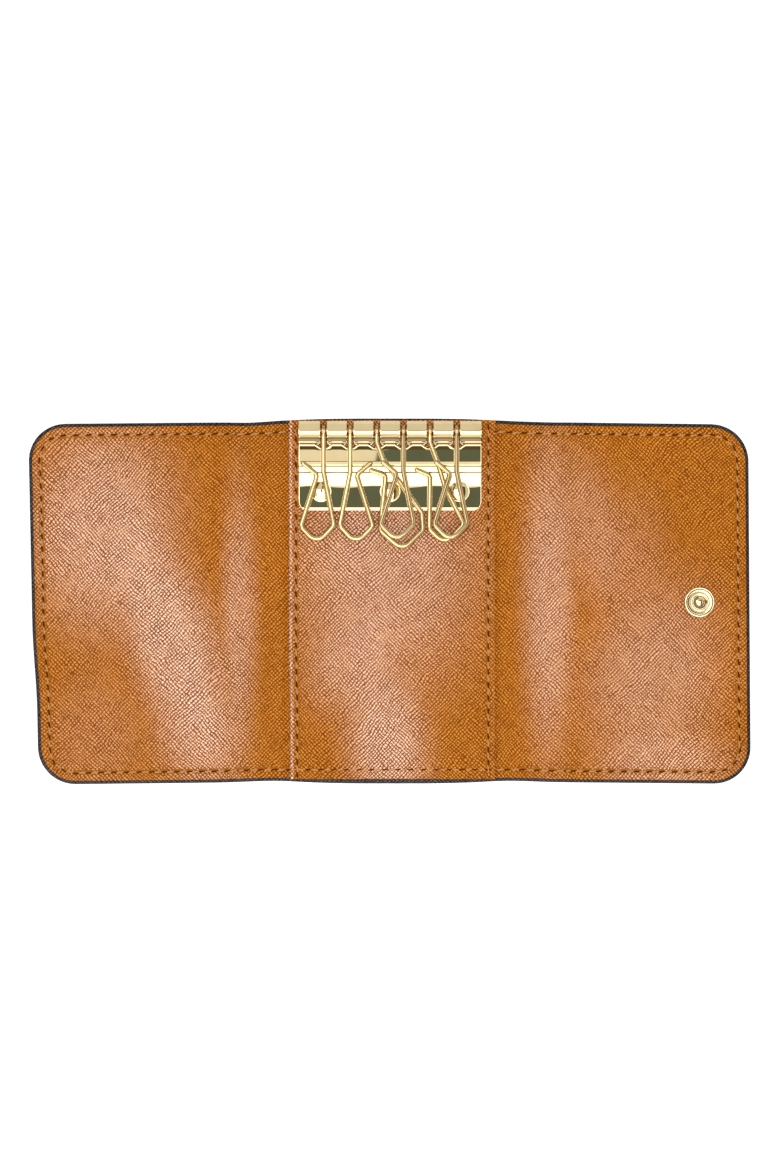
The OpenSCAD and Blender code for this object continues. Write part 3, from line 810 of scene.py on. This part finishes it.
# The plate: pale gold over nickel, polished bright, with a few hair scratches and a thin worn haze.
# The group gives the wear that the bar, the hooks, the rivets and the snap have in common.
wear, given = new_group("plated wear", "ShaderNodeTree", {"Place": "Vector"}, numbers("Haze", "Scratches"))
stretched = node(wear, "ShaderNodeMapping", Vector=given, Rotation=(0, 0, 0.5), Scale=(60, 2400, 300))
node(wear, "NodeGroupOutput", Haze=ranged(noise(given, 180.0, 4.0), 0.45, 0.75),
    Scratches=ranged(noise(stretched, 1.0, 2.0), 0.6, 0.72))


def on_piece(tree):
    """Places in a piece's own measures."""
    return node(tree, "ShaderNodeTexCoord")["Object"]


def plated_material(name, bright, worn, roughness, scratch_depth=0.0003 * MM):
    """Polished plated metal with worn haze, hair scratches and the painted shade of its recesses."""
    material, tree = new_material(name)
    marks = node(tree, "ShaderNodeGroup", {"node_tree": wear}, Place=on_piece(tree))
    plate = tinted(marks["Haze"], bright, worn)
    dulled = marks["Haze"] * (roughness * 0.2) + roughness + marks["Scratches"] * 0.01
    relief = bumped(marks["Scratches"], 0.1, scratch_depth)
    # painted shade darkens the plate towards dark brown where it is stored
    shade(tree, Base_Color=tinted(stored(tree, "grime"), plate, (0.08, 0.04, 0.012)), Metallic=1.0,
        Roughness=dulled, Normal=relief)
    return material


def in_slot(i, j):
    """Whether a cell of the sheet is cut away by a slot."""
    return slot_rows[i] and j in slot_columns


key_bar, edge_faces = closed_sheet("key_bar_sheet", bar_points, in_slot)
edge_round = key_bar.modifiers.new("rounded edges", "BEVEL")
edge_round.width = 0.07 * MM
edge_round.segments = 2
edge_round.angle_limit = math.radians(50)
apply_modifiers(key_bar)
bar_painted_shade_z = panel_high[2] + bar_painted_shade_top
places = [v.co for v in key_bar.data.vertices]
# painted shade on the low points of the sheet only
store(key_bar.data, "grime", [straight_table(bar_painted_shade_table, (p.y - bar_low[1]) / MM) if p.z < bar_painted_shade_z else 0
    for p in places])
key_bar.data.shade_smooth()
key_bar.data.set_sharp_from_angle(angle=math.radians(50))
pale_gold = plated_material("pale gold plate", (0.70, 0.56, 0.31), (0.64, 0.50, 0.27), 0.02)
key_bar.data.materials.append(pale_gold)
settle(key_bar, "gold_plated_steel", "centre_panel", "key_bar")

# Hook rod
# A plain steel rod inside the roll, coloured dark brown, seen through the slots. The hooks turn
# on it, and its ends stop short of the ends of the roll.
steel_scratch = 0.004 * MM
bare_steel = plated_material("bare steel", (0.56, 0.55, 0.52), (0.42, 0.40, 0.37), 0.22, steel_scratch)
rod_steel = plated_material("greased rod steel", (0.30, 0.20, 0.10), (0.16, 0.10, 0.05), 0.4, steel_scratch)


def refinish(material, *names):
    """Gives its material to CAD nodes that are shown as they are."""
    for name in names:
        part = frame["nodes"][name]
        part.data.materials.clear()
        part.data.materials.append(material)


refinish(rod_steel, "hook_rod")

# Rivets and washers
# Three low brass domes with a narrow sloping brim hold the bar down through the leather.
# Their shanks are spread over bare steel washers inside the case, where nobody sees them.
rivet_low, rivet_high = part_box("bar_rivets")
rivet_r = (rivet_high[1] - rivet_low[1]) / 2
rivet_y = (rivet_high[1] + rivet_low[1]) / 2
rivet_pitch = 19.7 * MM
rivet_z = panel_high[2] + sheet_t
rivet_height = rivet_high[2] - rivet_z
brim_w = 0.35 * MM


def new_tree(name, *sizes):
    """A geometry tree with one named number input for each size, and the outputs of its input node."""
    return new_group(name, "GeometryNodeTree", {"Geometry": "Geometry"} | numbers(*sizes),
        {"Geometry": "Geometry"})


def vector(tree, **parts):
    """A vector from its X, Y and Z."""
    return node(tree, "ShaderNodeCombineXYZ", **parts)


def coated(geometry, material):
    """The geometry with its material."""
    return node(geometry.tree, "GeometryNodeSetMaterial", Geometry=geometry, Material=material)


def finish_tree(tree, geometry):
    """Ends a geometry tree: its copies become real, and its faces are shaded smooth."""
    for kind in ("GeometryNodeRealizeInstances", "GeometryNodeSetShadeSmooth", "NodeGroupOutput"):
        geometry = node(tree, kind, Geometry=geometry)


def grow(name, points, edges, tree, sizes, **kept):
    """A plain mesh that a geometry tree makes from points and edges, with the tree's sizes set."""
    made = new_piece(name, points, edges, [])
    for label, values in kept.items():
        store(made.data, label, values)
    modifier = made.modifiers.new(tree.name, "NODES")
    modifier.node_group = tree
    for item in tree.interface.items_tree:
        if item.in_out == "INPUT" and item.name in sizes:
            modifier[item.identifier] = sizes[item.name]
    apply_modifiers(made)
    return made


tree, given = new_tree("rivet heads", "Radius", "Height", "Brim")
disc = node(tree, "GeometryNodeMeshCylinder", {"fill_type": "TRIANGLE_FAN"}, Vertices=64, Side_Segments=1,
    Fill_Segments=36, Radius=given["Radius"], Depth=1.0)
place = node(tree, "ShaderNodeSeparateXYZ", _0=node(tree, "GeometryNodeInputPosition"))
from_middle = (place["X"] * place["X"] + place["Y"] * place["Y"]).math("SQRT")
along = from_middle / (given["Radius"] - given["Brim"])
dome = (1.0 - along * along).math("MAXIMUM", 0.0) ** 0.8
brim_h = given["Height"] * 0.22
from_edge = (given["Radius"] - from_middle) / given["Brim"]
brim_round = (from_edge * 4.0).math("MAXIMUM", 0.0).math("MINIMUM", 1.0) ** 0.5
brim_slope = from_edge.math("MINIMUM", 1.0) * 0.2 + 0.8
head = dome * (given["Height"] - brim_h) + brim_h * brim_round * brim_slope
raised = head * place["Z"].math("GREATER_THAN", 0.0)
lifted = vector(tree, X=place["X"], Y=place["Y"], Z=raised)
rivet = coated(node(tree, "GeometryNodeSetPosition", Geometry=disc, Position=lifted), pale_gold)
finish_tree(tree, node(tree, "GeometryNodeInstanceOnPoints", Points=given["Geometry"], Instance=rivet))
rivet_places = [(bar_middle + i * rivet_pitch, rivet_y, rivet_z) for i in (-1, 0, 1)]
rivets = grow("bar_rivet_heads", rivet_places, [], tree,
    {"Radius": rivet_r, "Height": rivet_height, "Brim": brim_w})
recalculated(rivets.data)
settle(rivets, "gold_plated_brass", "centre_panel", "bar_rivets")
refinish(bare_steel, "rivet_washers")

# Hooks
# Six hooks bent from round plated wire, each with an eye closed round the rod and a loose free
# end that springs open for a key. The fourth and the sixth ride over their neighbours.
wire_r = 0.70 * MM
rod_r = 0.7 * MM
rod_hole_r = rod_r + 0.05 * MM
rod_low, rod_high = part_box("hook_rod")
rod_y = (rod_low[1] + rod_high[1]) / 2
hook_drop = 31.5 * MM
eye_r = 1.3 * MM
eye_w = 1.1 * MM
bend_r = 1.5 * MM
bottom_r = 3.2 * MM
raised_turn = math.radians(9.5)
# corners of the wire below the eye, in shares of the hook's drop
plain_shape = [(0, -0.38), (0.094, -0.862), (-0.055, -1.026), (-0.206, -0.87), (-0.058, -0.405),
    (-0.2, -0.285)]
mirrored_shape = [(-x, y) for x, y in plain_shape]
wide_shape = [(0, -0.112), (0.05, -0.25), (0.405, -0.745), (0.418, -0.9), (0.235, -1.083), (0.03, -0.9),
    (0.082, -0.405), (-0.07, -0.356)]
leaning_shape = [(0, -0.108), (0.062, -0.273), (0.135, -0.52), (0.307, -0.85), (0.135, -1.03),
    (-0.006, -0.892), (0, -0.41), (-0.14, -0.35)]
hook_shapes = [plain_shape, mirrored_shape, wide_shape, plain_shape, leaning_shape, plain_shape]


def point_value(tree, label, kind="FLOAT_VECTOR"):
    """What each point of a mesh keeps under a name."""
    return node(tree, "GeometryNodeInputNamedAttribute", {"data_type": kind}, Name=label)


def rounded(curve, radius, count, **limits):
    """The curve with its corners rounded in a count of steps."""
    return node(curve.tree, "GeometryNodeFilletCurve", {"mode": "POLY"}, Curve=curve, Radius=radius,
        Count=count, **limits)


def swept(path, section, **more):
    """A section carried along a path."""
    return node(path.tree, "GeometryNodeCurveToMesh", Curve=path, Profile_Curve=section, **more)


def moved(geometry, place, turn, scale=(1, 1, 1)):
    """The geometry at its place, turned and scaled."""
    return node(geometry.tree, "GeometryNodeTransform", Geometry=geometry, Translation=place, Rotation=turn,
        Scale=scale)


tree, given = new_tree("bent wire hook", "Wire radius", "Eye radius", "Eye width")
line = node(tree, "GeometryNodeMeshToCurve", Mesh=given["Geometry"])
bent_line = rounded(line, point_value(tree, "bend", "FLOAT"), 10, Limit_Radius=True)
finer = node(tree, "GeometryNodeResampleCurve", {"mode": "LENGTH"}, Curve=bent_line, Length=0.22 * MM)
run = node(tree, "GeometryNodeSplineParameter")["Length"]
to_tip = node(tree, "GeometryNodeSplineLength")["Length"] - run
from_round = 1.0 - (to_tip / (given["Wire radius"] * 0.8)).math("MINIMUM", 1.0)
tip_share = (1.0 - from_round * from_round).math("MAXIMUM", 0.02).math("SQRT")
wire_section = node(tree, "GeometryNodeCurvePrimitiveCircle", Resolution=16)
wire = swept(finer, wire_section, Fill_Caps=True, Scale=tip_share * given["Wire radius"])
eye_place = node(tree, "GeometryNodeSampleIndex", {"data_type": "FLOAT_VECTOR"}, Geometry=given["Geometry"],
    Value=point_value(tree, "eye"))
eye_half_t = (given["Eye radius"] - rod_hole_r) * 0.5
eye_path_r = given["Eye radius"] - eye_half_t
eye_path = node(tree, "GeometryNodeCurvePrimitiveCircle", Resolution=40, Radius=eye_path_r)
eye_section = node(tree, "GeometryNodeCurvePrimitiveQuadrilateral", {"mode": "RECTANGLE"},
    Width=eye_half_t * 2.0, Height=given["Eye width"])
eye = moved(swept(eye_path, rounded(eye_section, 0.24 * MM, 4)), eye_place, (0, math.pi / 2, 0))
wire_gold = plated_material("gold plated wire", (0.54, 0.40, 0.20), (0.46, 0.33, 0.15), 0.04)
# the eyes sit in shade inside the roll, so their gold is a darker copy: painted shade
eye_painted_shade_gold = plated_material("greased gold of the eyes", (0.42, 0.27, 0.11), (0.30, 0.18, 0.07), 0.16)
both = [coated(wire, wire_gold), coated(eye, eye_painted_shade_gold)]
finish_tree(tree, node(tree, "GeometryNodeJoinGeometry", _0=both))

for number, (middle, shape) in enumerate(zip(slot_middles, hook_shapes), start=1):
    turn = raised_turn if number in (4, 6) else 0
    corners = [(0, -(rod_hole_r + wire_r / 2))] + [(x * hook_drop, y * hook_drop) for x, y in shape]
    rise, reach = math.sin(turn), math.cos(turn)
    points = [(middle + x, rod_y + y * reach, roll_z - y * rise) for x, y in corners]
    lowest = min(y for x, y in corners)
    hook = grow(f"hook_{number}_wire", points, [(k, k + 1) for k in range(len(shape))], tree,
        {"Wire radius": wire_r, "Eye radius": eye_r, "Eye width": eye_w},
        bend=[bottom_r if y == lowest else bend_r for x, y in corners],
        eye=[Vector((middle, rod_y, roll_z))] * len(points))
    recalculated(hook.data)
    settle(hook, "gold_plated_steel", f"hook_{number}", f"hook_{number}")

# Snap socket
# A turned brass socket with a bright rim, a ring of fine flutes and a rolled lip, held by a post
# through the flap. A split steel ring in its throat grips the stud of the other side.
snap_s = spine_w["right"] + 38.75 * MM
snap_y = -0.4 * MM
flutes = 44
flute_depth = 0.01
socket_sides = flutes * 6
# Section of the socket in mm, from its outer foot up over the rim and the lip, down to its floor
# and back under it, and how much of the flutes each place has
socket_section = [(4.25, 0), (4.25, 0.6), (4.23, 0.78), (4.18, 0.86), (4.12, 0.89), (4.0, 0.9), (3.88, 0.9),
    (3.82, 0.88), (3.79, 0.8), (3.76, 0.6), (3.73, 0.55), (3.64, 0.55), (3.61, 0.6), (3.58, 0.67),
    (3.53, 0.67), (3.2, 0.61), (2.9, 0.555), (2.74, 0.525), (2.7, 0.55), (2.68, 0.7), (2.66, 1.45),
    (2.64, 1.62), (2.6, 1.68), (2.54, 1.71), (2.4, 1.715), (2.26, 1.71), (2.18, 1.67), (2.14, 1.5),
    (2.08, 1.25), (2.0, 0.95), (1.85, 0.65), (1.65, 0.45), (1.4, 0.32), (1.0, 0.25), (1.0, 0.02),
    (2.5, 0.0)]
fluted = {(3.58, 0.67): 0.5, (3.53, 0.67): 1.0, (3.2, 0.61): 1.0, (2.9, 0.555): 0.9, (2.74, 0.525): 0.5}
# painted shade in the throat, in the groove inside the rim and under the rim's edge, by mm from the axis
socket_painted_shade_table = [(1.0, 0.3), (1.5, 0.75), (2.0, 0.85), (2.16, 0.85), (2.22, 0), (2.6, 0), (2.65, 0.8),
    (2.76, 0.8), (2.82, 0), (3.54, 0), (3.6, 0.95), (3.78, 0.95), (3.82, 0), (4.18, 0), (4.24, 0.9)]
points, faces = [], []
corner_count = len(socket_section)
for k in range(socket_sides):
    turn = 2 * math.pi * k / socket_sides
    after = (k + 1) % socket_sides * corner_count
    for i, (r, z) in enumerate(socket_section):
        height = z + flute_depth * math.cos(turn * flutes) * fluted.get((r, z), 0)
        x, y = r * MM * math.cos(turn), r * MM * math.sin(turn)
        points.append(side_place("right", snap_s + x, snap_y + y, side_t + height * MM))
        j = (i + 1) % corner_count
        faces.append((k * corner_count + i, after + i, after + j, k * corner_count + j))
socket = new_piece("snap_socket_turned", points, [], faces)
recalculated(socket.data)
socket.data.shade_smooth()
# painted shade of the socket's hollows
store(socket.data, "grime", [straight_table(socket_painted_shade_table, r) for r, z in socket_section] * socket_sides)
aged_gold = plated_material("aged gold plate", (0.68, 0.55, 0.33), (0.56, 0.44, 0.24), 0.07, 0.003 * MM)
socket.data.materials.append(aged_gold)
settle(socket, "gold_plated_brass", "right_flap", "snap_socket")
refinish(pale_gold, "snap_cap", "snap_stud")
refinish(aged_gold, "snap_spring")
refinish(bare_steel, "stud_post")

# Stiffener boards
# Grey fibre board fills the pocket between cover and lining, and keeps each side flat.
# Its cut edges stay inside the leather all round.
board_material = mottled_material("grey fibre board", lambda tree: noise(on_piece(tree), 900.0, 5.0),
    (0.16, 0.14, 0.11), (0.42, 0.38, 0.31), 0.95, 0.03 * MM, 0.5)
refinish(board_material, "centre_board", "left_flap_board", "right_flap_board")

# Seams
# A lock stitch in waxed tan thread runs round each side and down both sides of the centre panel.
# Each stitch bridges two needle holes, painted as dark dots of shade, with the leather pulled down to them
# painted darker as shade.
stitch_pitch = 3.55 * MM
thread_r = 0.27 * MM
thread_sink = 0.2 * MM
seam_sunk = 0.12 * MM
panel_seam_z = panel_high[2] - 0.14 * MM
fold_clear = 0.8 * MM


def plies(tree):
    """The slanting plies of a thread."""
    return node(tree, "ShaderNodeTexWave", {"bands_direction": "DIAGONAL"}, Vector=on_piece(tree),
        Scale=1500.0, Distortion=1.5)["Fac"]


thread_material = mottled_material("waxed tan thread", plies, (0.44, 0.15, 0.02), (0.74, 0.36, 0.10), 0.5,
    0.03 * MM)
# painted shade: the needle hole is a dark dot, and the leather pulled down beside it is darker
hole_painted_shade_material = mottled_material("needle hole", lambda tree: noise(on_piece(tree), 2500.0, 2.0),
    (0.05, 0.008, 0.0003), (0.20, 0.045, 0.001), 1.0, gloss=0)
pulled_painted_shade_material = mottled_material("leather pulled down at a stitch",
    lambda tree: noise(on_piece(tree), 1400.0, 3.0), (0.24, 0.060, 0.001), (0.62, 0.22, 0.02), 0.7,
    gloss=0.04)

tree, given = new_tree("lock stitch", "Pitch", "Thread radius", "Sink")
pitch, thread, sink = given["Pitch"], given["Thread radius"], given["Sink"]
line = node(tree, "GeometryNodeMeshToCurve", Mesh=given["Geometry"])
spaced = node(tree, "GeometryNodeResampleCurve", {"mode": "LENGTH"}, Curve=line, Length=pitch)
along = node(tree, "FunctionNodeAlignRotationToVector", {"axis": "X"},
    Vector=node(tree, "GeometryNodeInputTangent"))
upright = node(tree, "FunctionNodeAlignRotationToVector", {"axis": "Z", "pivot_axis": "X"}, Rotation=along,
    Vector=point_value(tree, "facing"))
start, end = (vector(tree, X=pitch * (0.27 * sign), Y=thread * (0.45 * sign), Z=sink * -1.0)
    for sign in (-1, 1))
strand_line = node(tree, "GeometryNodeCurveQuadraticBezier", Resolution=9, Start=start,
    Middle=vector(tree, Z=sink * 1.25), End=end)
strand_section = node(tree, "GeometryNodeCurvePrimitiveCircle", Resolution=8, Radius=thread)
strand = coated(swept(strand_line, strand_section, Fill_Caps=True), thread_material)
# where two stitches meet: the leather pulled down beside the needle hole, darkened as painted shade, and the
# hole itself, a dark dot of painted shade
dent_shapes = [(pulled_painted_shade_material, 16, 8, 1.6, 0.1, -0.15, (4.0, 1.9, 0.42)),
               (hole_painted_shade_material, 10, 6, 0.0, 0.4, 0.12, (3.6, 0.95, 0.45))]
dents = []
for material, segments, rings, aside, height, turn, scale in dent_shapes:
    ball = node(tree, "GeometryNodeMeshUVSphere", Segments=segments, Rings=rings, Radius=thread)
    place = vector(tree, X=pitch * 0.5, Y=thread * aside, Z=thread * height)
    dents.append(coated(moved(ball, place, (0, 0, turn), scale), material))
one_stitch = node(tree, "GeometryNodeJoinGeometry", _0=[dents[0], strand, dents[1]])
finish_tree(tree, node(tree, "GeometryNodeInstanceOnPoints", Points=spaced, Instance=one_stitch,
    Rotation=upright))
stitch_tree = tree


def seam_point(part, s, y):
    """Point of the leather's face on a seam, and the way it faces."""
    if part == "centre":
        return Vector((s, y, panel_seam_z)), Vector((0, 0, 1))
    height = side_t + swell(part, s, y) * smooth(seam_in / (6 * MM)) - seam_sunk - panel_dive(s)
    facing = Vector((-outward[part] * math.sin(lift[part]), 0, math.cos(lift[part])))
    return side_place(part, s, y, height), facing


def seam_line(side):
    """The seam round one side as (s, y) pairs, from the fold's top round to its foot."""
    inset = rim_w + seam_in
    line = []
    for share in even_steps(1, 0, 0.004):
        edge = outer_edge(side, share, inset)
        foot, top = bottom_edge(side, edge) + inset, top_edge(side, edge) - inset
        line.append((edge, foot + share * (top - foot)))
    top_run = [(s, top_edge(side, s) - inset) for s in even_steps(1.2 * MM, line[0][0], 1 * MM)]
    foot_run = [(s, bottom_edge(side, s) + inset) for s in even_steps(line[-1][0], 1.2 * MM, 1 * MM)]
    return top_run[:-1] + line + foot_run[1:]


def sew(part, piece, *runs):
    """One mesh of stitches along several runs of places on a part."""
    edges, stitched = [], []
    for run in runs:
        edges += [(len(stitched) + k, len(stitched) + k + 1) for k in range(len(run) - 1)]
        stitched += [seam_point(part, s, y) for s, y in run]
    points, facing = zip(*stitched)
    seam = grow(f"{part}_{piece}_seam", points, edges, stitch_tree,
        {"Pitch": stitch_pitch, "Thread radius": thread_r, "Sink": thread_sink}, facing=facing)
    settle(seam, "lining_leather", f"{part}_{piece}")


for side in ("left", "right"):
    # run so that the inside of the seam is on the same hand everywhere
    whole_seam = seam_line(side)[::-outward[side]]
    on_spine = [(s, y) for s, y in whole_seam if s < spine_w[side] - fold_clear]
    sew(side, "flap", [(s, y) for s, y in whole_seam if s > spine_w[side] + fold_clear])
    sew(side, "spine", [(s, y) for s, y in on_spine if y > 0], [(s, y) for s, y in on_spine if y < 0])
down = even_steps(panel_high[1] - 3 * MM, panel_low[1] + 3 * MM, 2 * MM)
across = even_steps(panel_low[0] + 4 * MM, panel_high[0] - 4 * MM, 2 * MM)
sew("centre", "panel", [(left_cut(y) + panel_seam_in, y) for y in down],
    [(panel_high[0] - panel_seam_in, y) for y in reversed(down)],
    [(x, panel_low[1] + 2.7 * MM) for x in across])
